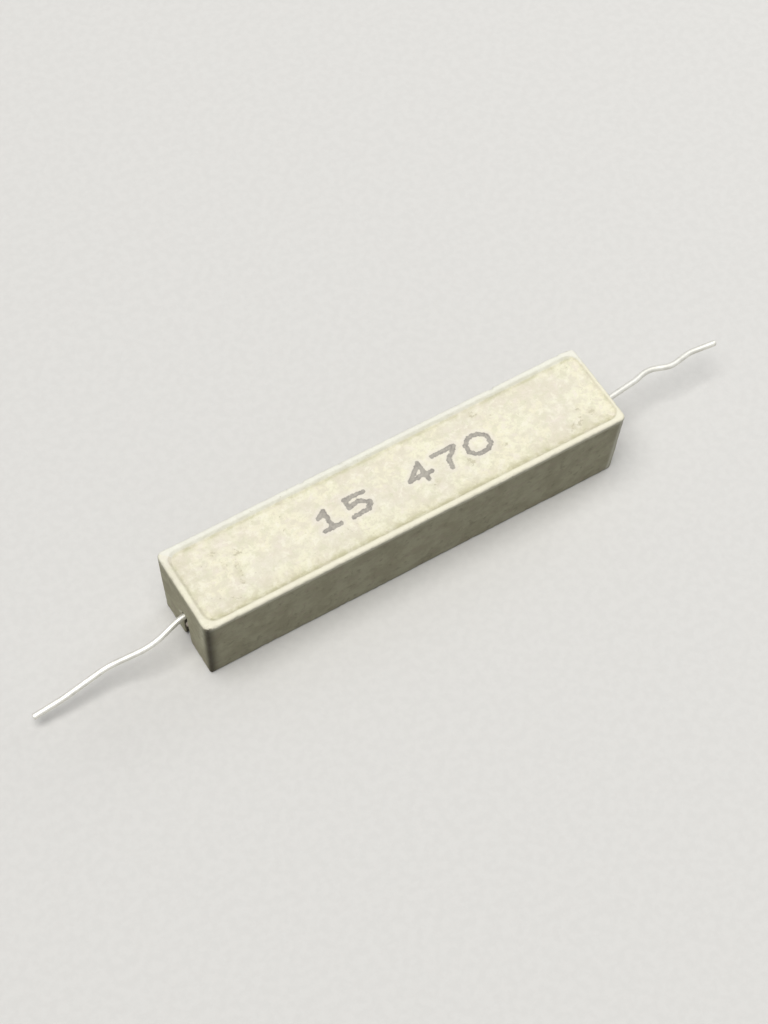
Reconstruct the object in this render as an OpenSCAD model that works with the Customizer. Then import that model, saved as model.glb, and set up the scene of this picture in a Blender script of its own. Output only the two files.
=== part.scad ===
// Axial wire-wound resistor in a ceramic trough, potted with cement, in millimetres.
// The origin is the centre of the underside. X runs along the body, and Z is up.
// The trough's open, cement-filled side faces down, and its closed side carries the framed panel.

/* [Case] */
// Length of the ceramic case over its top edge
case_len = 60; // [50:1:75]
// Width of the ceramic case over its top edge
case_w = 12.5; // [11.5:0.5:16]
// Height of the ceramic case
case_h = 12; // [11:0.5:16]
// How much each wall leans in from the top edge to the foot
case_draft = 0.6; // [0:0.1:1]
// Radius of the upright corners
corner_r = 1.3; // [0.6:0.1:2]
// Rounding of the edge round the top
top_edge_r = 0.45; // [0.2:0.05:0.8]
// Rounding of the edge round the foot
foot_edge_r = 0.35; // [0.1:0.05:0.6]
// Thickness of the end walls at the foot
end_wall = 2.6; // [1.8:0.1:4]
// How much the hollow narrows from the foot to the closed side, at each wall
hollow_draft = 0.25; // [0:0.05:0.4]
// Radius of the hollow's upright corners
hollow_corner_r = 1; // [0.5:0.1:1.5]

/* [Panel] */
// Width of the raised frame round the sunk panel
rim_w = 0.75; // [0.5:0.05:2]
// Depth of the sunk panel below the frame
panel_depth = 0.45; // [0.2:0.05:0.9]
// Width of the bevel between the frame and the panel
panel_bevel = 0.55; // [0.3:0.05:1.2]
// Corner radius of the frame's inner edge
panel_corner_r = 1.6; // [1:0.1:2.5]

/* [Lead notches] */
// Gap between a lead and each side of its notch in the end wall
notch_gap = 0.2; // [0.15:0.05:0.6]
// Radius of the flare where the notch meets the foot
notch_flare_r = 0.8; // [0.3:0.1:1.2]
// How far the cement in a notch stops short of the case's end
fill_setback = 1; // [0.5:0.1:1.4]
// Joint line between the cement and the ceramic
joint_gap = 0.04; // [0.02:0.01:0.08]

/* [Cement round the element] */
// Cement between the winding and each long wall, where the hollow is narrowest
cement_side = 0.7; // [0.4:0.1:1.2]
// Cement between the winding and the closed side
cement_over = 0.8; // [0.4:0.1:1.2]
// Cement between a cap and the end wall
cement_end = 5.5; // [4:0.5:9]

/* [Winding core] */
// Diameter of the ceramic rod
core_d = 4.6; // [3.6:0.1:5]
// Chamfer at the rod's ends
core_chamfer = 0.3; // [0.1:0.1:0.6]
// Wall of the pressed end caps
cap_wall = 0.3; // [0.2:0.05:0.4]
// How far a cap reaches over the rod
cap_grip = 4.5; // [3:0.5:6]
// Outer rounding of a cap's closed end
cap_edge_r = 0.5; // [0.35:0.05:0.55]
// Diameter of the weld that joins a lead to its cap
weld_d = 1.7; // [1.2:0.1:2.4]
// Height of that weld
weld_h = 0.5; // [0.3:0.1:0.8]
// Clearance between parts that are pushed together or wound on
fit_gap = 0.02; // [0.01:0.01:0.05]

/* [Winding] */
// Diameter of the resistance wire
wire_d = 0.3; // [0.15:0.05:0.4]
// Distance between two turns
wire_pitch = 1.1; // [0.9:0.1:2]
// Length over which the winding climbs onto a cap
climb_len = 1.5; // [1:0.1:3]
// Length of winding that lies on each cap
wire_lap = 2.2; // [1:0.1:2.8]

/* [Leads] */
// Diameter of the tinned leads
lead_d = 0.8; // [0.6:0.05:0.9]
// Centreline radius of the bends in the leads
lead_bend_r = 4; // [1.5:0.5:5]
// How far short of the top edge's end a lead starts its first bend
bend_start = 0.5; // [0.3:0.1:1]

/* [Left lead] */
// Straight run after the first bend
left_run_1 = 3.3; // [2:0.1:8]
// Straight run after the second bend
left_run_2 = 4.5; // [2:0.1:8]
// Straight run after the third bend
left_run_3 = 5.8; // [2:0.1:8]
// Straight run at the free end
left_tip = 4; // [2:0.1:8]

/* [Right lead] */
// Straight run after the first bend
right_run_1 = 6.8; // [4:0.1:12]
// Straight run after the second bend
right_run_2 = 0.8; // [0.6:0.1:4]
// Straight run after the third bend
right_run_3 = 1.1; // [0.8:0.1:5]
// Straight run after the fourth bend
right_run_4 = 1.7; // [1:0.1:6]
// Straight run at the free end
right_tip = 3.3; // [2:0.1:8]

/* [Hidden] */

// Each row is one bend: its direction round the wire, its angle and the straight run after it
left_bends = [
    [-122, 18, left_run_1], [-136, 25, left_run_2], [-173, 15, left_run_3], [149, 4, left_tip]
];
right_bends = [
    [-90, 7, right_run_1], [9, 8, right_run_2], [180, 33, right_run_3], [180, 28, right_run_4],
    [167, 17, right_tip]
];

$fn = 48;
film = 0.01;            // thickness of the slices that a hull spans
elbow_relief = 0.02;    // how much slimmer a lead's elbow is than its straight runs
elbow_lap = 0.05;       // how far an elbow reaches into the runs before and after it
cut = 1;                // how far a cutting shape runs past the surface it cuts
edge_slices = 4;        // slices that follow the rounding of an edge
turn_steps = 16;        // rings on each turn of the winding
wire_sides = 6;         // corners of the wire's section

element_z = case_h / 2;
notch_w = lead_d + 2 * notch_gap;
wire_r = wire_d / 2;
weld_neck_d = 0.95 * lead_d;
core_r = core_d / 2;
cap_r = core_r + fit_gap + cap_wall;
wound_r = seat_r(cap_r) + wire_r;

// The hollow leaves room for cement all round the element, and the walls are what is left
foot_l = case_len - 2 * (case_draft + end_wall);
foot_w = 2 * (wound_r + cement_side + hollow_draft);
hollow_h = element_z + wound_r + cement_over;
cap_end_x = foot_l / 2 - cement_end;
core_end_x = cap_end_x - cap_wall - fit_gap;
cap_mouth_x = core_end_x - cap_grip;
wound_x = cap_mouth_x + wire_lap;
climb_end_x = cap_mouth_x - wire_d;
climb_start_x = climb_end_x - climb_len;

// Centreline radius at which the chords of a winding just clear a cylinder of radius r
function seat_r(r) = (r + fit_gap + wire_r) / cos(180 / turn_steps);
function smooth(t) = let (u = min(1, max(0, t))) u * u * (3 - 2 * u);
function winding_r(x) =
    let (t = smooth((abs(x) - climb_start_x) / climb_len))
    seat_r(core_r) * (1 - t) + seat_r(cap_r) * t;

// Slice of a rounded box, thinned by inset at every side
module slice(length, width, radius, inset, z) {
    r = max(0.1, radius - inset);
    for (sx = [-1, 1], sy = [-1, 1])
        translate([sx * (length / 2 - inset - r), sy * (width / 2 - inset - r), z])
            cylinder(r = r, h = film, $fn = 32);
}

// Outside of the case: leaning walls between a rounded foot and a rounded top edge
module case_outside() {
    function lean(z) = case_draft * max(0, 1 - z / (case_h - top_edge_r));
    hull() {
        for (i = [0 : edge_slices - 1]) {
            a = 90 * i / edge_slices;
            foot_z = foot_edge_r * (1 - cos(a));
            top_z = case_h - top_edge_r * (1 - cos(a));
            slice(case_len, case_w, corner_r, lean(foot_z) + foot_edge_r * (1 - sin(a)), foot_z);
            slice(case_len, case_w, corner_r, lean(top_z) + top_edge_r * (1 - sin(a)), top_z - film);
        }
        slice(case_len, case_w, corner_r, lean(foot_edge_r), foot_edge_r);
        slice(case_len, case_w, corner_r, lean(case_h - top_edge_r), case_h - top_edge_r);
    }
}

// Hollow that holds the element, with a clearance all round for what fills it
module hollow(gap, bottom) {
    hull() {
        slice(foot_l, foot_w, hollow_corner_r, gap, bottom);
        slice(foot_l, foot_w, hollow_corner_r, gap, 0);
        slice(foot_l, foot_w, hollow_corner_r, gap + hollow_draft, hollow_h - gap - film);
    }
}

// Sunk panel with its sloping wall, cut into the top
module panel_recess() {
    l = case_len - 2 * rim_w;
    w = case_w - 2 * rim_w;
    rise = panel_bevel * cut / panel_depth;
    hull() {
        slice(l, w, panel_corner_r, panel_bevel, case_h - panel_depth);
        slice(l + 2 * rise, w + 2 * rise, panel_corner_r + rise, 0, case_h + cut);
    }
}

// Outline of a lead notch, seen along the body: a slot with a round head and a flared mouth
module notch_outline() {
    half = notch_w / 2;
    flare_x = half + notch_flare_r;
    translate([0, element_z]) circle(r = half);
    translate([-half, -cut]) square([notch_w, element_z + cut]);
    difference() {
        translate([-flare_x, -cut]) square([2 * flare_x, notch_flare_r + cut]);
        for (s = [-1, 1]) translate([s * flare_x, notch_flare_r]) circle(r = notch_flare_r);
    }
}

// Straight slot that the cement takes up in a notch
module fill_outline() {
    half = notch_w / 2 - joint_gap;
    translate([0, element_z]) circle(r = half);
    translate([-half, 0]) square([2 * half, element_z]);
}

// Stretches an outline in Y and Z along the body, from x1 to x2
module along_body(x1, x2) {
    translate([x1, 0, 0]) rotate([90, 0, 90]) linear_extrude(height = x2 - x1) children();
}

module both_ends() {
    children();
    mirror([1, 0, 0]) children();
}

// Cylinder on the element's axis, from x1 to x2
module bar(r, x1, x2) {
    translate([x1, 0, element_z]) rotate([0, 90, 0]) cylinder(r = r, h = x2 - x1);
}

module ceramic_case() {
    color("antiquewhite")
    difference() {
        case_outside();
        hollow(0, -cut);
        panel_recess();
        both_ends() along_body(case_len / 2 - case_draft - end_wall - cut, case_len / 2 + cut)
            notch_outline();
    }
}

// Room that the element and its leads take in the cement
module element_room() {
    winding_room = wire_r + joint_gap;
    mid_r = seat_r(core_r) + winding_room;
    lap_r = wound_r + joint_gap;
    bar(mid_r, -climb_start_x, climb_start_x);
    both_ends() {
        bar(lap_r, climb_start_x - wire_r, wound_x + wire_d);
        bar(cap_r + joint_gap, wound_x, cap_end_x + joint_gap);
        bar(weld_d / 2 + joint_gap, cap_end_x, cap_end_x + weld_h + joint_gap);
        bar(lead_d / 2 + joint_gap, cap_end_x, case_len / 2 + cut);
    }
}

module cement_fill() {
    color("wheat")
    difference() {
        union() {
            hollow(joint_gap, 0);
            both_ends() along_body(cap_end_x, case_len / 2 - fill_setback) fill_outline();
        }
        element_room();
    }
}

module core_rod() {
    half = core_end_x;
    color("ivory")
    translate([0, 0, element_z])
    rotate([0, 90, 0])
    rotate_extrude()
    polygon([
        [0, -half], [core_r - core_chamfer, -half], [core_r, core_chamfer - half],
        [core_r, half - core_chamfer], [core_r - core_chamfer, half], [0, half]
    ]);
}

// Helix of round wire that climbs onto both caps
module resistance_winding() {
    rings = round(2 * wound_x / wire_pitch * turn_steps);
    points = [
        for (i = [0 : rings])
        let (
            x = -wound_x + 2 * wound_x * i / rings,
            turn = 360 * i / turn_steps,
            r = winding_r(x)
        )
        for (j = [0 : wire_sides - 1])
        let (a = 360 * j / wire_sides, radial = r + wire_r * cos(a))
        [x + wire_r * sin(a), radial * cos(turn), radial * sin(turn)]
    ];
    sides = [
        for (i = [0 : rings - 1], j = [0 : wire_sides - 1])
        let (k = (j + 1) % wire_sides, a = i * wire_sides, b = a + wire_sides)
        [a + j, b + j, b + k, a + k]
    ];
    first_end = [for (j = [0 : wire_sides - 1]) j];
    last_end = [for (j = [wire_sides - 1 : -1 : 0]) rings * wire_sides + j];
    color("darkgray")
    translate([0, 0, element_z]) polyhedron(points, concat(sides, [first_end, last_end]));
}

// Pressed cup over one end of the rod, its closed end outwards
module end_cap() {
    inner_r = core_r + fit_gap;
    inner_x = core_end_x + fit_gap;
    color("silver")
    translate([0, 0, element_z])
    rotate([0, 90, 0])
    rotate_extrude()
    difference() {
        union() {
            translate([0, cap_mouth_x]) square([cap_r, cap_end_x - cap_mouth_x - cap_edge_r]);
            translate([0, cap_mouth_x]) square([cap_r - cap_edge_r, cap_end_x - cap_mouth_x]);
            translate([cap_r - cap_edge_r, cap_end_x - cap_edge_r]) circle(r = cap_edge_r);
        }
        translate([-cut, cap_mouth_x - cut]) square([inner_r + cut, inner_x - cap_mouth_x + cut]);
        translate([-cut, cap_mouth_x - cut]) square([cut, cap_end_x - cap_mouth_x + 2 * cut]);
    }
}

module end_cap_left() {
    mirror([1, 0, 0]) end_cap();
}

module end_cap_right() {
    end_cap();
}

// Bend that starts along Z and turns towards X. It laps into the runs before and after it,
// and is a hair slimmer than they are.
module elbow(angle) {
    lap = elbow_lap / lead_bend_r * 180 / PI;
    translate([lead_bend_r, 0, 0])
    rotate([90, 0, 180])
    rotate([0, 0, -lap])
    rotate_extrude(angle = angle + 2 * lap)
    translate([lead_bend_r, 0]) circle(d = lead_d - elbow_relief);
}

// Rest of a formed wire from one bend on, each bend set in the frame that the last one leaves
module formed_wire(bends, i = 0) {
    if (i < len(bends)) {
        angle = bends[i][1];
        run = bends[i][2];
        rotate([0, 0, bends[i][0]]) {
            elbow(angle);
            translate([lead_bend_r * (1 - cos(angle)), 0, lead_bend_r * sin(angle)])
            rotate([0, angle, 0]) {
                cylinder(d = lead_d, h = run);
                translate([0, 0, run]) formed_wire(bends, i + 1);
            }
        }
    }
}

// Lead that leaves along Z with X upwards: weld, straight run out of the case, formed run
module lead(bends) {
    straight = case_len / 2 - bend_start - cap_end_x;
    color("gainsboro") {
        translate([0, 0, cap_end_x]) cylinder(d1 = weld_d, d2 = weld_neck_d, h = weld_h);
        translate([0, 0, cap_end_x]) cylinder(d = lead_d, h = straight);
        translate([0, 0, cap_end_x + straight]) formed_wire(bends);
    }
}

module lead_left() {
    translate([0, 0, element_z]) rotate([0, -90, 0]) lead(left_bends);
}

module lead_right() {
    translate([0, 0, element_z]) rotate([0, 0, 180]) rotate([0, -90, 0]) lead(right_bends);
}

ceramic_case();
cement_fill();
core_rod();
resistance_winding();
end_cap_left();
end_cap_right();
lead_left();
lead_right();
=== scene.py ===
# Axial wire-wound resistor: a potted ceramic trough with a framed top and a bent tinned lead at each end.
import itertools
import math

import bpy
import numpy as np
from mathutils import Matrix, Vector


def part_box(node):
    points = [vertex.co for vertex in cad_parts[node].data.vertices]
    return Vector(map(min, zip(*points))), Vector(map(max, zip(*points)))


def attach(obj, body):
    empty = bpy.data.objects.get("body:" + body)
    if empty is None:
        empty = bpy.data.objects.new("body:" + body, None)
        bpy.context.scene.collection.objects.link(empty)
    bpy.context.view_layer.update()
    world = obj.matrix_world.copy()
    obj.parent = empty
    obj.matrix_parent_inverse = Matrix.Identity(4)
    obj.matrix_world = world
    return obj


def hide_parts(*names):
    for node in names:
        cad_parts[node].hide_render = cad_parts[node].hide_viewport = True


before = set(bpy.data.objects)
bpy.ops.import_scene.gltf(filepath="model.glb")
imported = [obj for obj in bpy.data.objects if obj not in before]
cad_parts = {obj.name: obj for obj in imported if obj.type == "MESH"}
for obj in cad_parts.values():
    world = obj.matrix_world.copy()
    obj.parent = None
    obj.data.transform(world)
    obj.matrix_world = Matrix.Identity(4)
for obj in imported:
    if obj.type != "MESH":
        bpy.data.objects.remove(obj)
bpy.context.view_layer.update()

mm = 0.001
scene = bpy.context.scene
halfLength, halfWidth, caseHeight = np.array(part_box("ceramic_case")[1]) / mm
print("Frame loaded: case", round(2 * halfLength, 2), round(2 * halfWidth, 2), round(caseHeight, 2), "mm")


# Small helpers for node trees
def addNode(tree, kind, inputs=None, **settings):
    node = tree.nodes.new(kind)
    for name, value in settings.items():
        setattr(node, name, value)
    for name, value in (inputs or {}).items():
        socket = node.inputs[name]
        if isinstance(value, bpy.types.NodeSocket):
            tree.links.new(value, socket)
        else:
            socket.default_value = value
    return node


def calc(tree, operation, *values, clamp=False):
    kind = "ShaderNodeMath"
    node = addNode(tree, kind, dict(enumerate(values)), operation=operation, use_clamp=clamp)
    return node.outputs[0]


def noise(tree, place, scale, detail=3.0, roughness=0.5, distortion=0.0):
    inputs = {"Vector": place, "Scale": scale, "Detail": detail, "Roughness": roughness,
              "Distortion": distortion}
    return addNode(tree, "ShaderNodeTexNoise", inputs).outputs["Fac"]


def remap(tree, value, low, high, toLow=0.0, toHigh=1.0):
    inputs = {"Value": value, "From Min": low, "From Max": high, "To Min": toLow, "To Max": toHigh}
    return addNode(tree, "ShaderNodeMapRange", inputs, interpolation_type="SMOOTHSTEP").outputs[0]


def mixColour(tree, factor, first, second):
    node = addNode(tree, "ShaderNodeMix", data_type="RGBA")
    for index, value in ((0, factor), (6, first), (7, second)):     # by number: the names repeat
        if isinstance(value, bpy.types.NodeSocket):
            tree.links.new(value, node.inputs[index])
        else:
            node.inputs[index].default_value = value
    return node.outputs[2]


def attribute(tree, name):
    return addNode(tree, "ShaderNodeAttribute", attribute_name=name).outputs["Fac"]


def newMaterial(name):
    material = bpy.data.materials.new(name)
    material.use_nodes = True
    tree = material.node_tree
    tree.nodes.clear()
    place = addNode(tree, "ShaderNodeTexCoord").outputs["Object"]
    return material, tree, place


def finishMaterial(tree, colour, roughness, height, bumpDistance, **extra):
    bump = addNode(tree, "ShaderNodeBump", {"Height": height, "Distance": bumpDistance})
    inputs = {"Base Color": colour, "Roughness": roughness, "Normal": bump.outputs["Normal"], **extra}
    surface = addNode(tree, "ShaderNodeBsdfPrincipled", inputs)
    addNode(tree, "ShaderNodeOutputMaterial", {"Surface": surface.outputs[0]})


def rgb(red, green, blue):      # a colour as it looks on a screen, from 0 to 255
    parts = [part / 255 for part in (red, green, blue)]
    return [((part + 0.055) / 1.055) ** 2.4 if part > 0.04 else part / 12.92 for part in parts] + [1.0]


# Camera at the photograph's viewing angle
cameraSettings = {
    "target": (-1.353, 0.334, 6.0), "distance": 283.3,      # mm
    "azimuth": -34.44, "elevation": 58.5, "roll": 3.47, "lens": 80.54,
}


def makeCamera(s):
    turn, rise, roll = (math.radians(s[key]) for key in ("azimuth", "elevation", "roll"))
    back = Vector((math.sin(turn) * math.cos(rise), -math.cos(turn) * math.cos(rise), math.sin(rise)))
    level = Vector((math.cos(turn), math.sin(turn), 0))
    right = level * math.cos(roll) + back.cross(level) * math.sin(roll)
    axes = Matrix((right, back.cross(right), back)).transposed().to_4x4()
    data = bpy.data.cameras.new("productCamera")
    data.lens = s["lens"]
    data.clip_start = 0.01
    camera = bpy.data.objects.new("productCamera", data)
    camera.matrix_world = Matrix.Translation((Vector(s["target"]) + back * s["distance"]) * mm) @ axes
    scene.collection.objects.link(camera)
    scene.camera = camera


makeCamera(cameraSettings)
print("Camera set")


# Pale floor, a wide soft light from overhead, a small lamp at the right and a plain world
studioSettings = {
    "floorSize": 4.0, "floorDrop": 0.00003,
    "floorTone": rgb(224, 223, 220), "floorGrain": rgb(221, 220, 217), "floorBounce": rgb(98, 97, 95),
    "lamps": {      # kind, place in metres, width in metres or radians, power, tint
        "overheadLight": ("SUN", (-0.13, -0.03, 0.60), 0.75, 2.45, (1.0, 0.985, 0.96)),
        "rightLamp": ("AREA", (0.58, 0.16, 0.34), 0.30, 0.7, (0.96, 0.98, 1.0)),
    },
    "worldTint": (0.94, 0.96, 1.0, 1.0), "worldStrength": 0.2,
}


def seenDirectly(tree):     # 1 for what the camera sees itself, in metal or through glass
    rays = addNode(tree, "ShaderNodeLightPath").outputs
    either = calc(tree, "MAXIMUM", rays["Is Camera Ray"], rays["Is Glossy Ray"])
    return calc(tree, "MAXIMUM", either, rays["Is Transmission Ray"])


def makeStudio(s):
    bpy.ops.mesh.primitive_plane_add(size=s["floorSize"], location=(0, 0, -s["floorDrop"]))
    floor = bpy.context.object
    floor.name = "studioFloor"
    material, tree, place = newMaterial("paleFloor")
    grain = noise(tree, place, 900.0, 4.0)
    tone = mixColour(tree, remap(tree, grain, 0.35, 0.65), s["floorTone"], s["floorGrain"])
    tone = mixColour(tree, seenDirectly(tree), s["floorBounce"], tone)
    finishMaterial(tree, tone, 0.85, grain, 0.00006)
    floor.data.materials.append(material)
    for name, (kind, place, width, power, tint) in s["lamps"].items():
        data = bpy.data.lights.new(name, kind)
        setattr(data, {"SUN": "angle", "AREA": "size"}[kind], width)
        data.energy = power
        data.color = tint
        lamp = bpy.data.objects.new(name, data)
        lamp.location = place
        lamp.rotation_euler = Vector(place).to_track_quat("Z", "Y").to_euler()
        scene.collection.objects.link(lamp)
    world = bpy.data.worlds.new("paleWorld")
    world.use_nodes = True
    tree = world.node_tree
    tree.nodes.clear()
    strength = remap(tree, seenDirectly(tree), 0.0, 1.0, s["worldStrength"], 1.0)
    sky = addNode(tree, "ShaderNodeBackground", {"Color": s["worldTint"], "Strength": strength})
    addNode(tree, "ShaderNodeOutputWorld", {"Surface": sky.outputs[0]})
    scene.world = world
    scene.view_settings.view_transform = "Standard"


makeStudio(studioSettings)
print("Floor, lamps and world set")


# Smooth random field from -1 to 1 at points in mm, with features about as wide as size
def randomField(points, size, seed):
    turned = points @ np.array([[0.8, 0.36, 0.48], [-0.6, 0.48, 0.64], [0.0, -0.8, 0.6]])
    spot = turned / size + seed * 17.31
    cell = np.floor(spot).astype(np.int64)
    part = spot - cell
    part = part ** 3 * (part * (part * 6 - 15) + 10)
    total = np.zeros(len(points))
    for corner in itertools.product((0, 1), repeat=3):
        at = cell + corner
        code = at[:, 0] * 73856093 ^ at[:, 1] * 19349663 ^ at[:, 2] * 83492791 ^ seed * 668265263
        code = (code ^ (code >> 13)) * 1274126177
        code = ((code ^ (code >> 16)) & 0xFFFFFF) / 0x7FFFFF - 1
        total += code * np.prod(np.where(corner, part, 1 - part), axis=1)
    return total


def smoothStep(value):      # from 0 to 1 with soft ends
    part = np.clip(value, 0, 1)
    return part * part * (3 - 2 * part)


def softPeak(value, middle, width):     # 1 at the middle, fading to 0 on both sides
    return np.exp(-((value - middle) / width) ** 2)


def roundedMax(a, b, radius):       # keeps what is in both shapes and rounds the edge between them
    return np.minimum(np.maximum(a, b), -radius) + np.hypot(
        np.maximum(a + radius, 0), np.maximum(b + radius, 0))


def roundedPlate(x, y, halfX, halfY, radius):       # distance from a plate's outline, below zero inside
    across = np.abs(x) - halfX + radius
    along = np.abs(y) - halfY + radius
    return (np.hypot(np.maximum(across, 0), np.maximum(along, 0))
            + np.minimum(np.maximum(across, along), 0) - radius)


def gridLine(*spans):       # places along one axis, from spans of (start, end, step)
    parts = [np.linspace(start, end, max(1, round((end - start) / step)), endpoint=False)
             for start, end, step in spans]
    return np.concatenate(parts + [[spans[-1][1]]])


def slopeOf(field, points):
    reach = 0.01
    steps = np.eye(3) * reach
    return np.stack([field(points + step) - field(points - step) for step in steps], 1) / (2 * reach)


# Closed mesh of quads where the field is zero: one corner in each grid cell that the surface crosses
def surfaceMesh(field, spans):
    lines = [gridLine(*spans[axis]) for axis in "xyz"]
    shape = tuple(len(line) for line in lines)
    grid = np.stack(np.meshgrid(*lines, indexing="ij"), -1)
    values = field(grid.reshape(-1, 3)).reshape(shape)
    cells = tuple(count - 1 for count in shape)
    sums = np.zeros(cells + (3,))
    counts = np.zeros(cells)
    crossings = []
    for axis in range(3):
        others = [k for k in range(3) if k != axis]
        low = tuple(slice(0, -1) if k == axis else slice(None) for k in range(3))
        high = tuple(slice(1, None) if k == axis else slice(None) for k in range(3))
        index = np.argwhere((values[low] < 0) != (values[high] < 0))
        first = values[low][tuple(index.T)]
        second = values[high][tuple(index.T)]
        start = grid[low][tuple(index.T)]
        point = start + (grid[high][tuple(index.T)] - start) * (first / (first - second))[:, None]
        around = []
        for u, v in ((0, 0), (-1, 0), (-1, -1), (0, -1)):
            cell = index.copy()
            cell[:, others[0]] += u
            cell[:, others[1]] += v
            around.append(cell)
            np.add.at(sums, tuple(cell.T), point)
            np.add.at(counts, tuple(cell.T), 1)
        crossings.append((axis, first < 0, around))
    used = counts > 0
    number = np.full(cells, -1)
    number[used] = np.arange(used.sum())
    points = sums[used] / counts[used][:, None]
    faces = []
    for axis, outward, around in crossings:
        quad = np.stack([number[tuple(cell.T)] for cell in around], 1)
        flip = outward if axis == 1 else ~outward
        quad[flip] = quad[flip][:, ::-1]
        faces.append(quad)
    for _ in range(3):      # pull the corners onto the surface
        slope = slopeOf(field, points)
        points = points - slope * (field(points) / np.maximum((slope ** 2).sum(1), 0.1))[:, None]
    return points, np.concatenate(faces)


def meshPiece(name, points, faces, material, values=None):
    mesh = bpy.data.meshes.new(name)
    mesh.from_pydata((points * mm).tolist(), [], faces.tolist())
    for title, numbers in (values or {}).items():
        mesh.attributes.new(title, "FLOAT", "POINT").data.foreach_set("value", np.float32(numbers))
    mesh.shade_smooth()
    mesh.materials.append(material)
    piece = bpy.data.objects.new(name, mesh)
    scene.collection.objects.link(piece)
    print("Made", name, "with", len(faces), "faces")
    return piece


def settle(piece, slot, *nodes):
    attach(piece, "root")
    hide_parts(*nodes)


# Sizes of the hollow and the notches, which the case and the cement share
hollowForm = {
    "halfLength": 26.8, "halfWidth": 3.945, "height": 9.79, "draft": 0.25, "cornerRadius": 1.0,
    "axisHeight": 6.0, "notchWidth": 1.2, "notchFlare": 0.8,
}


def hollowField(points, gap=0.0):
    s = hollowForm
    x, y, z = points.T
    inset = s["draft"] * np.clip(z / s["height"], 0, 1) + gap
    plan = roundedPlate(x, y, s["halfLength"] - inset, s["halfWidth"] - inset, s["cornerRadius"] - gap)
    return np.maximum(plan, z - s["height"] + gap)


def notchField(points, gap=0.0, flare=True):
    s = hollowForm
    x, y, z = points.T
    half = s["notchWidth"] / 2 - gap
    below = np.clip(s["notchFlare"] - z, 0, s["notchFlare"])
    if flare:
        half = half + s["notchFlare"] - np.sqrt(s["notchFlare"] ** 2 - below ** 2)
    return np.where(z > s["axisHeight"], np.hypot(y, z - s["axisHeight"]), np.abs(y)) - half


# Ceramic case: leaning walls, a rounded rim round a sunk panel, a hollow and two notches
caseForm = {
    "draft": 0.6, "cornerRadius": 0.9,
    "topEdge": 0.42, "footEdge": 0.32, "notchEdge": 0.18, "hollowEdge": 0.15,       # edge roundings
    "endRim": 0.53, "sideRim": 0.66, "panelShift": 0.16, "panelCorner": 1.7, "panelDepth": 0.36,
    "bevelWidth": 0.6, "rightBevel": 0.38, "rightBevelFrom": 27,
    "swell": 0.035, "swellSize": 5.0, "grain": 0.01, "grainSize": 0.45, "reliefReach": 0.8,
    "raggedRim": 0.1, "chipDepth": 0.12, "chipSize": 0.55, "wornFrom": 3,       # worn most at the far side
    "seed": 4,
    "pits": [       # place on the panel, radius and depth
        (-22.4, -1.1, 0.45, 0.22), (-22.2, 0.1, 0.3, 0.14), (-21.3, 1.6, 0.35, 0.12),
        (-22.6, -2.3, 0.3, 0.12), (-24.1, 2.9, 0.3, 0.1), (-23.6, 0.8, 0.3, 0.1),
        (-24.6, -3.9, 0.3, 0.1), (24.6, -3.6, 0.4, 0.2), (23.3, -3.8, 0.4, 0.14),
        (25.5, -1.6, 0.3, 0.12), (26.7, -3.0, 0.35, 0.12), (13.5, 4.0, 0.35, 0.1),
        (9.8, -1.8, 0.45, 0.14), (14.6, -1.8, 0.3, 0.08), (4.5, -2.1, 0.35, 0.08),
    ],
    "looseDimples": 170, "dimpleShares": (0.45, 0.22, 0.22, 0.11),      # top, near side, far side, ends
    "dimpleRadius": (0.14, 0.34), "dimpleDepth": (0.02, 0.08),
}
caseGrid = {        # spans of the mesh grid: start, end and step, finer at the edges and the digits
    "x": ((-30.24, -25.2, 0.14), (-25.2, -12, 0.3), (-12, 12, 0.18), (12, 25.2, 0.3), (25.2, 30.24, 0.14)),
    "y": ((-6.5, -4.4, 0.13), (-4.4, -1.8, 0.24), (-1.8, 1.8, 0.18), (1.8, 4.4, 0.24), (4.4, 6.5, 0.13)),
    "z": ((-0.24, 0.6, 0.13), (0.6, 10.8, 0.36), (10.8, 12.24, 0.1)),
}


def rimInside(points):      # how far inside the rim's inner edge a point lies, in plan
    s = caseForm
    x, y = points[:, 0] - s["panelShift"], points[:, 1]
    return -roundedPlate(x, y, halfLength - s["endRim"], halfWidth - s["sideRim"], s["panelCorner"])


def bevelAt(points):        # the rim slopes down to the panel more steeply at the right
    s = caseForm
    change = smoothStep((points[:, 0] - s["rightBevelFrom"]) / 2)
    return s["bevelWidth"] + (s["rightBevel"] - s["bevelWidth"]) * change


def makeDimples(s):     # place, radius and depth of the pits and of the loose dimples
    dice = np.random.default_rng(s["seed"])
    top = caseHeight - s["panelDepth"]
    behind = 0.2        # a dimple's middle lies this far inside its wall
    loose = []
    for _ in range(s["looseDimples"]):
        side = dice.choice(4, p=s["dimpleShares"])
        x = dice.uniform(-halfLength, halfLength)
        y = dice.uniform(-halfWidth, halfWidth)
        z = dice.uniform(0.3, caseHeight - 0.5)
        end = math.copysign(halfLength - behind, x)
        spot = ((x, y, top), (x, -halfWidth + behind, z), (x, halfWidth - behind, z), (end, y, z))[side]
        loose.append((*spot, dice.uniform(*s["dimpleRadius"]), dice.uniform(*s["dimpleDepth"])))
    return [(x, y, top, radius, depth) for x, y, radius, depth in s["pits"]] + loose


dimples = makeDimples(caseForm)


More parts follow.
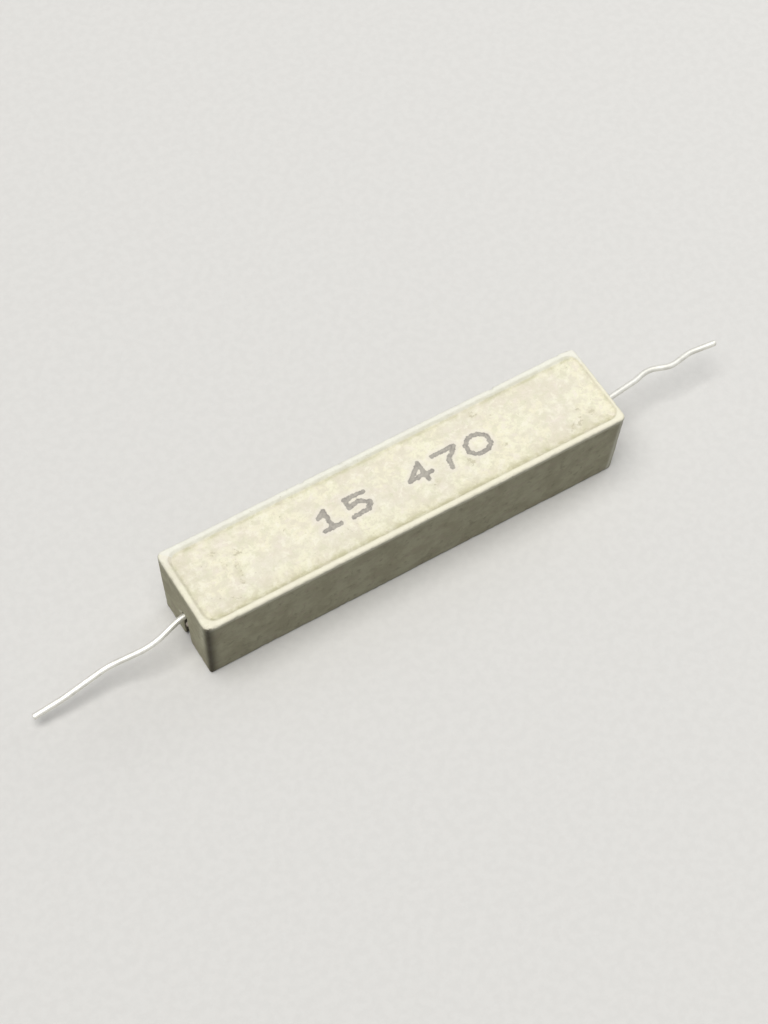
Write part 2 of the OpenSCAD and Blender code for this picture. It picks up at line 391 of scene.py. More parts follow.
def caseField(points):
    s = caseForm
    x, y, z = points.T
    lean = s["draft"] * np.clip(1 - z / caseHeight, 0, 1)
    walls = roundedPlate(x, y, halfLength - lean, halfWidth - lean, s["cornerRadius"] - lean)
    solid = roundedMax(walls, z - caseHeight, s["topEdge"])
    solid = roundedMax(solid, -z, s["footEdge"])
    inside = rimInside(points)
    hole = np.maximum(notchField(points), hollowForm["halfLength"] - 1 - np.abs(x))
    near = np.abs(np.maximum(solid, -hole)) < s["reliefReach"]      # fine relief only by the surface
    spots = points[near]
    high = z[near]
    wander = np.zeros(len(points))
    wander[near] = (0.55 * randomField(spots, 1.7, 1) + 0.45 * randomField(spots, 0.55, 2)) * (high > 10)
    raggedness = s["raggedRim"] * np.where(y > s["wornFrom"], 1.0, 0.4)
    top = caseHeight - s["panelDepth"] * smoothStep((inside + wander * raggedness) / bevelAt(points))
    dips = np.zeros(len(points))
    dips[near] = (s["swell"] * (1 + randomField(spots, s["swellSize"], 3))
                  + s["grain"] * (1 + randomField(spots, s["grainSize"], 5)))
    chips = smoothStep((randomField(spots, s["chipSize"], 6) - 0.4) / 0.35)
    chips *= softPeak(walls[near], -0.15, 0.35)
    chips *= np.where((high > caseHeight - 0.6) | (high < 0.6), 1.0, 0.15)      # fewer halfway up
    chips *= np.where(spots[:, 1] > s["wornFrom"], 1.0, 0.35)       # and fewer at the near side
    dips[near] += s["chipDepth"] * chips
    for px, py, pz, radius, depth in dimples:
        close = near & (np.abs(x - px) < 3 * radius)
        away = points[close] - (px, py, pz)
        dips[close] += depth * np.exp(-(away ** 2).sum(1) / radius ** 2)
    solid = np.maximum(solid, z - top) + dips
    solid = roundedMax(solid, -hole, s["notchEdge"])
    return roundedMax(solid, -hollowField(points), s["hollowEdge"])


# Plain digits in rough ink dots, laid out on the panel
printSettings = {
    "digits": "15 470", "start": -11.2, "pitch": 4.3, "width": 3.1, "height": 2.6, "baseline": -1.25,
    "dotPitch": 0.34, "dotRadius": 0.35, "shake": 0.05, "seed": 11,
    "strokes": {        # corners of each stroke in a box of one by one
        "0": [[(0.28, 0), (0.72, 0), (1, 0.3), (1, 0.7), (0.72, 1), (0.28, 1), (0, 0.7), (0, 0.3),
               (0.28, 0)]],
        "1": [[(0.18, 0.72), (0.5, 1), (0.5, 0)], [(0.15, 0), (0.85, 0)]],
        "4": [[(0.7, 0), (0.7, 1), (0.02, 0.32), (1, 0.32)]],
        "5": [[(0.92, 1), (0.12, 1), (0.08, 0.56), (0.6, 0.62), (0.95, 0.36), (0.75, 0.04), (0.05, 0)]],
        "7": [[(0, 1), (1, 1), (0.5, 0.42), (0.42, 0)]],
    },
}


def inkDots(s):
    dice = np.random.default_rng(s["seed"])
    dots = []
    for place, digit in enumerate(s["digits"]):
        for stroke in s["strokes"].get(digit, []):
            corners = np.array(stroke) * (s["width"], s["height"])
            corners += (s["start"] + place * s["pitch"], s["baseline"])
            for a, b in zip(corners[:-1], corners[1:]):
                count = max(2, round(np.hypot(*(b - a)) / s["dotPitch"]) + 1)
                dots.extend(a + (b - a) * t for t in np.linspace(0, 1, count))
    dots = np.array(dots)
    return dots + dice.normal(0, s["shake"], dots.shape)


def inkDistance(points, s):     # from the edge of the nearest dot, below zero inside it
    dots = inkDots(s)
    farAway = 5.0
    result = np.full(len(points), farAway)
    near = (points[:, 2] > caseHeight - 1) & (np.abs(points[:, 1]) < s["height"])
    flat = points[near, :2]
    result[near] = np.min([np.hypot(*(flat - dot).T) for dot in dots], axis=0) - s["dotRadius"]
    return result


ceramicTones = {        # the main tints, some of them painted shade and painted highlights; those that only mottle them stand in the material
    "cream": rgb(244, 239, 213), "sand": rgb(235, 230, 211),
    # the side tones: the sides' own olive tint, made darker than the top as painted shade
    "wall": rgb(199, 196, 165), "wallShade": rgb(179, 174, 143),
    # the near rim tone is the rim's own paler tint; the far one adds a bluer painted highlight on the far
    # rim and its slope, which face the light
    "nearRim": rgb(246, 242, 220), "litFarRim": rgb(243, 243, 233),
    # the first: an olive band inside the rim, painted shade heaviest on the near slope, which faces away
    # from the light, with blotchy dirt in it; the second: painted shade in the crease at the foot of the
    # rim's slope
    "shadeAndDirt": rgb(198, 193, 158), "grooveShade": rgb(190, 188, 150),
    # the pale edge tone paints a highlight on the near-right upright corner and on the left notch's near
    # jamb, and also colours a real pale smear on the left end
    "darkEdge": rgb(52, 46, 28), "highlightAndSmear": rgb(246, 243, 222), "paleBand": rgb(244, 242, 216),
    # the first tone darkens the notches' recess as painted shade
    "notch": rgb(78, 70, 54), "speck": rgb(176, 169, 142), "pit": rgb(214, 208, 180),
    "ink": rgb(150, 145, 137), "inkHalo": rgb(239, 232, 221),
}


def ceramicMaterial(tones):
    material, tree, place = newMaterial("stainedCeramicWithPaintedLight")
    broad = noise(tree, place, 190.0, 4.0, 0.6, 0.2)
    patch = noise(tree, place, 980.0, 5.0, 0.6, 0.3)
    other = noise(tree, place, 700.0, 5.0, 0.62, 0.2)
    fine = noise(tree, place, 2600.0, 4.0, 0.65)
    cloud = noise(tree, place, 400.0, 2.0, 0.5, 0.2)
    colour = mixColour(tree, remap(tree, broad, 0.4, 0.6), tones["cream"], tones["sand"])
    colour = mixColour(tree, remap(tree, cloud, 0.52, 0.64, 0.0, 0.7), colour, rgb(232, 224, 206))
    colour = mixColour(tree, remap(tree, cloud, 0.36, 0.48, 0.6, 0.0), colour, rgb(245, 243, 217))
    colour = mixColour(tree, remap(tree, patch, 0.51, 0.6, 0.0, 0.7), colour, rgb(229, 223, 203))
    colour = mixColour(tree, remap(tree, patch, 0.38, 0.45, 0.6, 0.0), colour, rgb(249, 245, 226))
    colour = mixColour(tree, remap(tree, other, 0.54, 0.62, 0.0, 0.55), colour, rgb(224, 222, 195))
    colour = mixColour(tree, remap(tree, other, 0.36, 0.44, 0.5, 0.0), colour, rgb(240, 231, 218))
    colour = mixColour(tree, remap(tree, fine, 0.5, 0.64, 0.0, 0.4), colour, rgb(226, 220, 197))
    # The sides and the underside take a darker olive tone: partly their own tint, partly painted shade.
    wall = attribute(tree, "wall")
    stain = noise(tree, place, 330.0, 6.0, 0.66, 0.1)
    side = mixColour(tree, remap(tree, stain, 0.38, 0.62), tones["wall"], tones["wallShade"])
    side = mixColour(tree, remap(tree, other, 0.54, 0.62, 0.0, 0.5), side, rgb(187, 174, 151))
    side = mixColour(tree, remap(tree, patch, 0.57, 0.68, 0.0, 0.6), side, rgb(155, 149, 120))
    colour = mixColour(tree, calc(tree, "MULTIPLY", wall, 0.9), colour, side)
    # Rim tint: the rim's own paler tone, and on the far side a bluer painted highlight that runs down the
    # slope facing the light.
    rimAndHighlight = mixColour(tree, attribute(tree, "farSide"), tones["nearRim"], tones["litFarRim"])
    colour = mixColour(tree, calc(tree, "MULTIPLY", attribute(tree, "rimAndHighlight"), 0.75), colour, rimAndHighlight)
    # Olive band inside the rim: painted shade, heaviest on the near slope that faces away from the light,
    # broken up by noise as blotchy dirt.
    shadeAndDirt = calc(tree, "MULTIPLY", attribute(tree, "shadeAndDirt"), remap(tree, patch, 0.38, 0.62, 0.6, 1.3))
    colour = mixColour(tree, shadeAndDirt, colour, tones["shadeAndDirt"])
    # Painted shade: a darker line in the crease at the foot of the rim's slope.
    line = calc(tree, "MULTIPLY", attribute(tree, "grooveShade"), remap(tree, other, 0.35, 0.65, 0.3, 1.1))
    colour = mixColour(tree, line, colour, tones["grooveShade"])
    colour = mixColour(tree, attribute(tree, "darkEdge"), colour, tones["darkEdge"])
    # Painted highlights on the near-right upright corner and along the left notch's near jamb, and a real
    # pale smear on the left end.
    colour = mixColour(tree, attribute(tree, "highlightAndSmear"), colour, tones["highlightAndSmear"])
    band = calc(tree, "MULTIPLY", attribute(tree, "paleBand"), remap(tree, fine, 0.42, 0.56, 0.3, 1.0))
    colour = mixColour(tree, band, colour, tones["paleBand"])
    # Painted shade: the inside of the notches, past the end faces, is made dark.
    colour = mixColour(tree, attribute(tree, "notch"), colour, tones["notch"])
    zone = attribute(tree, "pitZone")
    speck = calc(tree, "MULTIPLY_ADD", zone, 0.22, noise(tree, place, 1900.0, 3.0, 0.6))
    speck = calc(tree, "MULTIPLY_ADD", noise(tree, place, 240.0, 3.0), 0.25, speck)
    colour = mixColour(tree, remap(tree, speck, 0.79, 0.91, 0.0, 0.55), colour, tones["speck"])
    smudge = calc(tree, "MULTIPLY", zone, remap(tree, patch, 0.4, 0.6, 0.1, 0.5))
    colour = mixColour(tree, smudge, colour, tones["pit"])
    spread = calc(tree, "ADD", attribute(tree, "ink"), remap(tree, fine, 0.3, 0.7, -0.06, 0.06))
    colour = mixColour(tree, remap(tree, spread, 0.1, 0.7, 0.5, 0.0), colour, tones["inkHalo"])
    blotch = noise(tree, place, 1500.0, 3.0, 0.6)
    inked = remap(tree, spread, -0.1, 0.05, 1.0, 0.0)
    inked = calc(tree, "MULTIPLY", inked, remap(tree, blotch, 0.4, 0.6, 1.0, 0.82))
    inked = calc(tree, "MULTIPLY", inked, remap(tree, spread, -0.28, -0.1, 0.86, 1.0))
    colour = mixColour(tree, inked, colour, tones["ink"])
    rough = calc(tree, "ADD", remap(tree, patch, 0.3, 0.7, 0.56, 0.74), calc(tree, "MULTIPLY", wall, 0.1))
    height = calc(tree, "ADD", fine, calc(tree, "MULTIPLY", patch, 1.5))
    finishMaterial(tree, colour, rough, height, 0.00005)
    return material


tintAndLightForm = {       # four numbers stand for the left, right, near and far side of the panel
    # the rim's own paler tint on its top; the far value of rimFrom runs it down the far slope as painted
    # highlight
    "rimAndHighlight": (0.4, 1.0, 1.0, 1.0), "rimFrom": (0.0, 0.05, 0.0, 0.35),
    # an olive band inside the rim: painted shade on the slopes that face away from the light, with some
    # dirt
    "shadeAndDirt": (0.28, 0.0, 0.62, 0.16), "shadeAndDirtReach": (1.2, 0.3, 0.65, 0.7),
    # a darker line of painted shade in the crease at the foot of the rim's slope
    "grooveShade": (0.05, 0.22, 0.25, 0.5), "grooveShadeWidth": 0.18,
    # the last value darkens the inside of the notches as painted shade
    "darkEdge": 0.95, "darkEdgeWidth": 0.6, "cornerHighlightWidth": 0.2, "paleBand": 0.5, "notch": 0.9,
    # painted highlight along the left notch's near jamb; the pale edge width on the line above sets a
    # painted highlight on the near-right upright corner; the smear is a real pale mark
    "jambHighlight": 0.6, "smear": 0.8, "smearWidth": 0.24, "smearPlace": (1.4, 5.1),        # on the left end
}


def caseTintsAndLight(points, normal, s):      # where each tint, painted shade and painted highlight goes, from 0 to 1
    x, y, z = points.T
    top = smoothStep((z - caseHeight + 0.9) / 0.3)
    inside = rimInside(points)
    lean = caseForm["draft"] * (1 - z / caseHeight)
    toEnd, toSide = halfLength - lean - np.abs(x), halfWidth - lean - np.abs(y)
    atEnd = toEnd < toSide
    farSide = smoothStep((y - 3) / 1.5)
    facing = np.select([atEnd & (x < 0), atEnd, y < 0], [0, 1, 2], 3)      # left, right, near, far
    perSide = ("rimAndHighlight", "rimFrom", "shadeAndDirt", "shadeAndDirtReach", "grooveShade")
    bySide = {name: np.array(s[name])[facing] for name in perSide}
    past = inside - bevelAt(points)
    # painted shade inside the rim, strongest on the near slope
    shade = bySide["shadeAndDirt"] * np.where(past < 0, smoothStep(inside / 0.25), 1)
    pits = np.array(caseForm["pits"])
    away = np.linalg.norm(points[:, None, :2] - pits[:, :2], axis=2)
    corner = (toEnd - toSide) / math.sqrt(2)        # across the upright edges of the near side
    upright = (y < 0) * smoothStep((2.6 - toEnd - toSide) / 0.4)
    upright *= smoothStep((0.85 - np.abs(normal[:, 2])) / 0.4)
    leftEnd = x < -29
    band = leftEnd * (y < 0) * softPeak(toSide, 1.5, 0.6) * smoothStep((z - 3) / 4)
    slot = notchField(points)
    # painted highlight along the near jamb of the left notch
    jambHighlight = s["jambHighlight"] * leftEnd * (y < 0) * (z < 5.3) * softPeak(slot, 0.1, 0.1)
    smearY, smearZ = s["smearPlace"]        # a short pale line that rises to the lead
    along = np.clip(((smearY - y) + (z - smearZ)) / 1.95, 0, 1)
    smear = np.hypot(y - smearY + 0.95 * along, z - smearZ - along)
    smear = s["smear"] * leftEnd * smoothStep((s["smearWidth"] - smear) / 0.16)
    return {
        # where the darker side tone goes: partly the sides' own tint, partly painted shade
        "wall": np.maximum(smoothStep(1.15 - np.abs(normal[:, 2]) * 1.6), 0.6 * (normal[:, 2] < -0.5)),
        # the rim's own paler tint, carried down the far slope as painted highlight
        "rimAndHighlight": top * smoothStep(1 - (inside - bySide["rimFrom"]) / 0.2) * bySide["rimAndHighlight"],
        "farSide": farSide,
        "shadeAndDirt": top * shade * np.exp(-np.maximum(past, 0) / bySide["shadeAndDirtReach"]),
        # painted shade in the crease at the foot of the slope
        "grooveShade": top * bySide["grooveShade"] * softPeak(past, 0.05, s["grooveShadeWidth"]),
        "darkEdge": s["darkEdge"] * upright * (x < 0) * softPeak(corner, 0.1, s["darkEdgeWidth"]),
        # painted highlight on the near-right upright corner, plus the painted jamb highlight and the real
        # pale smear
        "highlightAndSmear": upright * (x > 0) * softPeak(corner, 0.42, s["cornerHighlightWidth"]) + jambHighlight + smear,
        "paleBand": s["paleBand"] * band,
        # painted shade inside the notches
        "notch": s["notch"] * (toEnd > 0.1) * (np.abs(x) > halfLength - 4) * smoothStep(1 - slot / 0.06),
        "pitZone": top * softPeak(away, 0, 1.6 * pits[:, 2]).max(1),
        "ink": inkDistance(points, printSettings),
    }


def makeCase():
    points, faces = surfaceMesh(caseField, caseGrid)
    slope = slopeOf(caseField, points)
    values = caseTintsAndLight(points, slope / np.linalg.norm(slope, axis=1)[:, None], tintAndLightForm)
    material = ceramicMaterial(ceramicTones)
    settle(meshPiece("caseShell", points, faces, material, values), "ceramic", "ceramic_case")


makeCase()
print("Ceramic case made")


# Potting cement: fills the hollow round the element and ends in rough plugs in the notches
cementForm = {
    "gap": 0.04, "setback": 1.0, "plugBulge": 0.9, "blobHeight": 4.1, "plugHollow": 2.2, "lumps": 0.22,
    "plugsFrom": 21.3, "pits": 0.35, "sag": 0.3, "seed": 9,
    "bubbles": 260, "bubbleReach": (26.5, 3.8), "bubbleRadius": (0.12, 0.42), "bubbleDepth": (0.05, 0.3),
}
cementGrid = {
    "x": ((-30, -25.5, 0.15), (-25.5, 25.5, 0.28), (25.5, 30, 0.15)),
    "y": ((-4.1, -1.0, 0.24), (-1.0, 1.0, 0.12), (1.0, 4.1, 0.24)),
    "z": ((-0.2, 1.0, 0.14), (1.0, 6.8, 0.25), (6.8, 10.0, 0.4)),
}
elementForm = {     # room that the element and its leads take in the cement, with the gap round them
    "midRadius": 2.69, "lapRadius": 3.04, "capRadius": 2.66, "weldRadius": 0.89, "leadRadius": 0.44,
    "climbStart": 14.68, "wound": 18.98, "capEnd": 21.34, "weldEnd": 21.84,
    "lapEarly": 0.15, "overlap": 0.5,       # the steps overlap, so no cement is left between them
}


def elementField(points):       # stepped round room along the element's axis
    s = elementForm
    reach = np.abs(points[:, 0])
    off = np.hypot(points[:, 1], points[:, 2] - hollowForm["axisHeight"])
    room = np.full(len(points), 9.0)
    for radius, start, end in (
        (s["midRadius"], -1, s["climbStart"] + s["overlap"]),
        (s["lapRadius"], s["climbStart"] - s["lapEarly"], s["wound"]),
        (s["capRadius"], s["wound"] - s["overlap"], s["capEnd"]),
        (s["weldRadius"], s["capEnd"] - s["overlap"], s["weldEnd"]),
        (s["leadRadius"], s["weldEnd"] - s["overlap"], 40),
    ):
        room = np.minimum(room, np.maximum.reduce([off - radius, start - reach, reach - end]))
    return room


def makeBubbles(s):
    dice = np.random.default_rng(s["seed"])
    reach = np.array(s["bubbleReach"])
    flat = dice.uniform(-reach, reach, (s["bubbles"], 2))
    return [(x, y, dice.uniform(*s["bubbleRadius"]), dice.uniform(*s["bubbleDepth"])) for x, y in flat]


bubbles = makeBubbles(cementForm)


def underside(points):      # height of the cement's open face: a shallow sag, grit and burst bubbles
    s = cementForm
    x, y = points[:, 0], points[:, 1]
    middle = smoothStep(-roundedPlate(x, y, hollowForm["halfLength"], hollowForm["halfWidth"], 1.0) / 1.2)
    grit = randomField(points, 1.3, 21) * 0.6 + randomField(points, 0.5, 22) * 0.4
    height = 0.02 + s["sag"] * (0.5 + 0.5 * randomField(points, 6.0, 24)) * middle
    height += s["pits"] * np.maximum(grit - 0.15, 0) ** 1.5
    for px, py, radius, depth in bubbles:
        close = np.abs(x - px) < 3 * radius
        away = (x[close] - px) ** 2 + (y[close] - py) ** 2
        height[close] += depth * np.exp(-away / radius ** 2)
    return height


def plugField(points):      # lumpy cement in the notches: a blob under the lead, washed out below it
    s = cementForm
    z = points[:, 2]
    reach = np.abs(points[:, 0])
    lump = randomField(points, 1.1, 25) * 0.6 + randomField(points, 0.45, 26) * 0.4
    nearSide = smoothStep((0.25 - points[:, 1]) / 0.4)
    blob = s["plugBulge"] * softPeak(z, s["blobHeight"], 0.6) * nearSide
    gone = s["plugHollow"] * smoothStep((s["blobHeight"] + 0.2 - 0.9 * nearSide - z) / 0.7)
    end = halfLength - s["setback"] + blob - gone + s["lumps"] * (lump - 1)
    plug = np.maximum(notchField(points, s["gap"] + 0.02, False), reach - end)
    return np.maximum(plug, z - hollowForm["axisHeight"] - hollowForm["notchWidth"] / 2 + s["gap"])


def cementField(points):
    solid = hollowField(points, cementForm["gap"])
    ends = np.abs(points[:, 0]) > cementForm["plugsFrom"]
    solid[ends] = np.minimum(solid[ends], plugField(points[ends]))
    low = points[:, 2] < 1.5
    solid[low] = roundedMax(solid[low], underside(points[low]) - points[low, 2], 0.08)
    return np.maximum(solid, -elementField(points))


def cementMaterial():
    material, tree, place = newMaterial("pottingCement")
    broad = noise(tree, place, 260.0, 4.0, 0.6, 0.5)
    grain = noise(tree, place, 1800.0, 5.0, 0.7)
    colour = mixColour(tree, remap(tree, broad, 0.35, 0.65), rgb(206, 192, 172), rgb(222, 210, 196))
    colour = mixColour(tree, remap(tree, grain, 0.48, 0.7, 0.0, 0.6), colour, rgb(168, 154, 132))
    cells = addNode(tree, "ShaderNodeTexVoronoi", {"Vector": place, "Scale": 1500.0}).outputs["Distance"]
    sand = remap(tree, cells, 0.1, 0.28, 0.7, 0.0)
    colour = mixColour(tree, sand, colour, rgb(236, 228, 214))
    height = calc(tree, "ADD", grain, calc(tree, "MULTIPLY", sand, 0.5))
    finishMaterial(tree, colour, remap(tree, grain, 0.3, 0.7, 0.8, 0.95), height, 0.00012)
    return material


def makeCement():
    points, faces = surfaceMesh(cementField, cementGrid)
    settle(meshPiece("cementFill", points, faces, cementMaterial()), "cement", "cement_fill")


makeCement()
print("Cement made")


# Geometry Nodes helpers
def newTree(name, inputs):
    tree = bpy.data.node_groups.new(name, "GeometryNodeTree")
    tree.interface.new_socket(name="Geometry", in_out="INPUT", socket_type="NodeSocketGeometry")
    for title, kind in inputs.items():
        tree.interface.new_socket(name=title, in_out="INPUT", socket_type="NodeSocket" + kind)
    tree.interface.new_socket(name="Geometry", in_out="OUTPUT", socket_type="NodeSocketGeometry")
    return tree, addNode(tree, "NodeGroupInput").outputs


def closeTree(tree, geometry, material):
    real = addNode(tree, "GeometryNodeRealizeInstances", {"Geometry": geometry}).outputs["Geometry"]
    painted = addNode(tree, "GeometryNodeSetMaterial", {"Geometry": real, "Material": material})
    addNode(tree, "NodeGroupOutput", {"Geometry": painted.outputs["Geometry"]})


def bakeTree(name, tree, values, data):
    source = bpy.data.objects.new(name + "Source", data)
    scene.collection.objects.link(source)
    modifier = source.modifiers.new("shape", "NODES")
    modifier.node_group = tree
    for item in tree.interface.items_tree:
        if item.in_out == "INPUT" and item.name in values:
            modifier[item.identifier] = values[item.name]
    depsgraph = bpy.context.evaluated_depsgraph_get()
    mesh = bpy.data.meshes.new_from_object(source.evaluated_get(depsgraph), depsgraph=depsgraph)
    bpy.data.objects.remove(source)
    mesh.name = name
    piece = bpy.data.objects.new(name, mesh)
    scene.collection.objects.link(piece)
    print("Made", name, "with", len(mesh.polygons), "faces")
    return piece


def curveThrough(name, points):
    data = bpy.data.curves.new(name, "CURVE")
    data.dimensions = "3D"
    spline = data.splines.new("POLY")
    spline.points.add(len(points) - 1)
    for knot, point in zip(spline.points, points):
        knot.co = (*(Vector(point) * mm), 1.0)
    return data


# Tinned leads: a straight run out of the case, then bends by hand, as in the part's source
leadForm = {
    "diameter": 0.8, "weldStart": 21.3, "weldLength": 0.5, "weldRadius": 0.85,
    "step": 0.12, "sides": 24, "dents": 0.012, "tipRounding": 0.12,
    # each bend: its direction round the wire, its angle and the straight run after it
    "left": {
        "side": -1, "straight": 7.41, "bendRadius": 9.0,        # eased round the solid's corners
        "bends": [(-122, 18, 1.4), (-136, 25, 2.73), (-173, 15, 4.97), (149, 4, 3.83)],
    },
    "right": {
        "side": 1, "straight": 8.2, "bendRadius": 4.0,
        "bends": [(-90, 7, 6.8), (9, 8, 0.8), (180, 33, 1.1), (180, 28, 1.7), (167, 17, 3.3)],
    },
}


def leadPath(s, lead):
    side, radius = lead["side"], lead["bendRadius"]
    axes = Matrix(((0, 0, side), (0, -side, 0), (1, 0, 0)))     # columns: up, across, outwards
    place = Vector((side * s["weldStart"], 0, hollowForm["axisHeight"]))
    points = [place.copy()]
    place = place + axes.col[2] * lead["straight"]
    points.append(place.copy())
    for direction, angle, run in lead["bends"]:
        axes = axes @ Matrix.Rotation(math.radians(direction), 3, "Z")
        turn = math.radians(angle)
        count = max(3, round(turn * radius / s["step"]))
        for k in range(1, count + 1):
            part = turn * k / count
            bow = Vector((1 - math.cos(part), 0, math.sin(part))) * radius
            points.append(place + axes @ bow)
        axes = axes @ Matrix.Rotation(turn, 3, "Y")
        place = points[-1] + axes.col[2] * run
        points.append(place.copy())
    return points


def wireTree(material):
    tree, given = newTree("wireTree", {
        "Step": "Float", "Radius": "Float", "Weld radius": "Float", "Weld length": "Float",
        "Tip rounding": "Float", "Dents": "Float", "Sides": "Int",
    })
    evenly = {"Curve": given["Geometry"], "Length": given["Step"]}
    line = addNode(tree, "GeometryNodeResampleCurve", evenly, mode="LENGTH").outputs["Curve"]
    along = addNode(tree, "GeometryNodeSplineParameter").outputs["Length"]
    total = addNode(tree, "GeometryNodeSplineLength").outputs["Length"]
    flare = calc(tree, "SUBTRACT", 1.0, calc(tree, "DIVIDE", along, given["Weld length"]), clamp=True)
    extra = calc(tree, "MULTIPLY", flare, calc(tree, "SUBTRACT", given["Weld radius"], given["Radius"]))
    left = calc(tree, "SUBTRACT", total, along)
    near = calc(tree, "SUBTRACT", 1.0, calc(tree, "DIVIDE", left, given["Tip rounding"]), clamp=True)
    shrink = calc(tree, "MULTIPLY", calc(tree, "MULTIPLY", near, near), given["Tip rounding"])
    radius = calc(tree, "SUBTRACT", calc(tree, "ADD", given["Radius"], extra), shrink)
    line = addNode(tree, "GeometryNodeStoreNamedAttribute",
                   {"Geometry": line, "Name": "alongWire", "Value": along},
                   data_type="FLOAT", domain="POINT").outputs["Geometry"]
    ring = addNode(tree, "GeometryNodeCurvePrimitiveCircle",
                   {"Resolution": given["Sides"], "Radius": 1.0}, mode="RADIUS").outputs["Curve"]
    turn = addNode(tree, "GeometryNodeSplineParameter").outputs["Factor"]
    fold = calc(tree, "PINGPONG", turn, 0.5)
    ring = addNode(tree, "GeometryNodeStoreNamedAttribute",
                   {"Geometry": ring, "Name": "roundWire", "Value": fold},
                   data_type="FLOAT", domain="POINT").outputs["Geometry"]
    swept = {"Curve": line, "Profile Curve": ring, "Scale": radius, "Fill Caps": True}
    tube = addNode(tree, "GeometryNodeCurveToMesh", swept).outputs["Mesh"]
    place = addNode(tree, "GeometryNodeInputPosition").outputs["Position"]
    dent = calc(tree, "SUBTRACT", noise(tree, place, 380.0, 1.0), 1.0)      # below zero: only inwards
    dent = calc(tree, "MULTIPLY", dent, given["Dents"])
    outwards = addNode(tree, "GeometryNodeInputNormal").outputs["Normal"]
    push = addNode(tree, "ShaderNodeVectorMath", {0: outwards, "Scale": dent}, operation="SCALE")
    moved = {"Geometry": tube, "Offset": push.outputs["Vector"]}
    tube = addNode(tree, "GeometryNodeSetPosition", moved).outputs["Geometry"]
    tube = addNode(tree, "GeometryNodeSetShadeSmooth", {"Geometry": tube}).outputs["Geometry"]
    closeTree(tree, tube, material)
    return tree


def tinnedMaterial():
    material, tree, place = newMaterial("tinnedWire")
    cloud = noise(tree, place, 700.0, 4.0, 0.6)
    fine = noise(tree, place, 6000.0, 3.0, 0.6)
    along = calc(tree, "MULTIPLY", attribute(tree, "alongWire"), 500.0)
    around = calc(tree, "MULTIPLY", attribute(tree, "roundWire"), 30.0)
    spot = addNode(tree, "ShaderNodeCombineXYZ", {"X": along, "Y": around}).outputs["Vector"]
    drawn = noise(tree, spot, 1.0, 4.0, 0.7)
    colour = mixColour(tree, remap(tree, cloud, 0.35, 0.7), rgb(224, 222, 213), rgb(204, 202, 193))
    colour = mixColour(tree, remap(tree, drawn, 0.62, 0.72, 0.0, 0.5), colour, rgb(160, 157, 148))
    rough = calc(tree, "ADD", remap(tree, cloud, 0.3, 0.7, 0.4, 0.54),
                 remap(tree, drawn, 0.5, 0.8, 0.0, 0.14))
    finishMaterial(tree, colour, rough, calc(tree, "ADD", fine, drawn), 0.000006, Metallic=1.0)
    return material


def makeLeads(s):
    tinned = tinnedMaterial()
    tree = wireTree(tinned)
    values = {
        "Step": s["step"] * mm, "Radius": s["diameter"] / 2 * mm, "Weld radius": s["weldRadius"] * mm,
        "Weld length": s["weldLength"] * mm, "Tip rounding": s["tipRounding"] * mm,
        "Dents": s["dents"] * mm, "Sides": s["sides"],
    }
    for name, node in (("left", "lead_left"), ("right", "lead_right")):
        path = curveThrough(name + "Path", leadPath(s, s[name]))
        settle(bakeTree(name + "Lead", tree, values, path), "tinned_lead", node)


makeLeads(leadForm)
print("Leads made")


# Resistance wire: a helix on the rod that climbs onto both caps
windingForm = {
    "wireDiameter": 0.3, "turns": 34, "steps": 40, "sides": 10, "halfLength": 18.68,
    "rodRadius": 2.47, "capRadius": 2.79, "climbStart": 14.68, "climbLength": 1.5,
}


def windingTree(material):
    tree, given = newTree("windingTree", {
        "Half length": "Float", "Turns": "Float", "Points": "Int", "Rod radius": "Float",
        "Cap radius": "Float", "Climb start": "Float", "Climb length": "Float", "Axis height": "Float",
        "Wire radius": "Float", "Sides": "Int",
    })
    line = addNode(tree, "GeometryNodeCurvePrimitiveLine").outputs["Curve"]
    evenly = {"Curve": line, "Count": given["Points"]}
    line = addNode(tree, "GeometryNodeResampleCurve", evenly, mode="COUNT").outputs["Curve"]
    part = addNode(tree, "GeometryNodeSplineParameter").outputs["Factor"]
    away = calc(tree, "MULTIPLY_ADD", part, 2.0, -1.0)
    x = calc(tree, "MULTIPLY", away, given["Half length"])
    past = calc(tree, "SUBTRACT", calc(tree, "ABSOLUTE", x), given["Climb start"])
    climb = remap(tree, calc(tree, "DIVIDE", past, given["Climb length"]), 0.0, 1.0)
    step = calc(tree, "SUBTRACT", given["Cap radius"], given["Rod radius"])
    radius = calc(tree, "MULTIPLY_ADD", climb, step, given["Rod radius"])
    angle = calc(tree, "MULTIPLY", calc(tree, "MULTIPLY", part, given["Turns"]), 2 * math.pi)
    y = calc(tree, "MULTIPLY", radius, calc(tree, "COSINE", angle))
    z = calc(tree, "MULTIPLY_ADD", radius, calc(tree, "SINE", angle), given["Axis height"])
    spot = addNode(tree, "ShaderNodeCombineXYZ", {"X": x, "Y": y, "Z": z}).outputs["Vector"]
    moved = {"Geometry": line, "Position": spot}
    line = addNode(tree, "GeometryNodeSetPosition", moved).outputs["Geometry"]
    ring = addNode(tree, "GeometryNodeCurvePrimitiveCircle",
                   {"Resolution": given["Sides"], "Radius": given["Wire radius"]},
                   mode="RADIUS").outputs["Curve"]
    tube = addNode(tree, "GeometryNodeCurveToMesh",
                   {"Curve": line, "Profile Curve": ring, "Fill Caps": True}).outputs["Mesh"]
    tube = addNode(tree, "GeometryNodeSetShadeSmooth", {"Geometry": tube}).outputs["Geometry"]
    closeTree(tree, tube, material)
    return tree


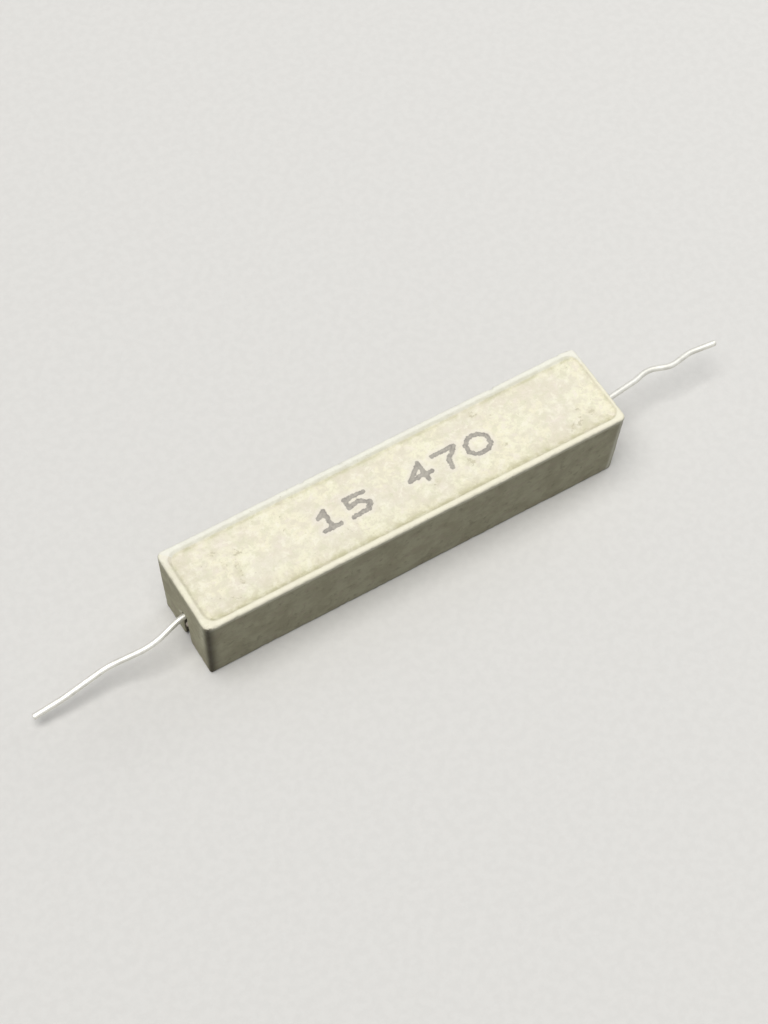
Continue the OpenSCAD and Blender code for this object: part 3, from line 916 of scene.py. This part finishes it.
def metalMaterial(name, light, dark, rough, scale):
    material, tree, place = newMaterial(name)
    cloud = noise(tree, place, scale, 4.0, 0.6)
    fine = noise(tree, place, scale * 6, 3.0, 0.6)
    colour = mixColour(tree, remap(tree, cloud, 0.35, 0.68), light, dark)
    rough = remap(tree, fine, 0.3, 0.7, rough, rough + 0.2)
    finishMaterial(tree, colour, rough, fine, 0.00001, Metallic=1.0)
    return material


def makeWinding(s):
    material = metalMaterial("resistanceWire", rgb(176, 170, 160), rgb(122, 116, 108), 0.3, 1500.0)
    values = {
        "Half length": s["halfLength"] * mm, "Turns": s["turns"], "Points": s["turns"] * s["steps"] + 1,
        "Rod radius": s["rodRadius"] * mm, "Cap radius": s["capRadius"] * mm,
        "Climb start": s["climbStart"] * mm, "Climb length": s["climbLength"] * mm,
        "Axis height": hollowForm["axisHeight"] * mm, "Wire radius": s["wireDiameter"] / 2 * mm,
        "Sides": s["sides"],
    }
    piece = bakeTree("windingHelix", windingTree(material), values, bpy.data.meshes.new("blank"))
    settle(piece, "resistance_wire", "resistance_winding")


makeWinding(windingForm)
print("Winding made")


# Rod and caps keep the part's own solids and take a finish
def dress(node, material):
    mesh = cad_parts[node].data
    mesh.materials.clear()
    mesh.materials.append(material)


def rodMaterial():
    material, tree, place = newMaterial("rodCeramic")
    cloud = noise(tree, place, 500.0, 4.0, 0.6)
    fine = noise(tree, place, 3500.0, 4.0, 0.65)
    colour = mixColour(tree, remap(tree, cloud, 0.35, 0.65), rgb(238, 234, 222), rgb(222, 216, 200))
    colour = mixColour(tree, remap(tree, fine, 0.62, 0.72, 0.0, 0.4), colour, rgb(186, 178, 160))
    finishMaterial(tree, colour, remap(tree, fine, 0.3, 0.7, 0.55, 0.75), fine, 0.00003)
    return material


dress("core_rod", rodMaterial())
capSteel = metalMaterial("platedSteel", rgb(208, 206, 200), rgb(176, 172, 164), 0.28, 700.0)
for capNode in ("end_cap_left", "end_cap_right"):
    dress(capNode, capSteel)
print("Rod and caps finished")
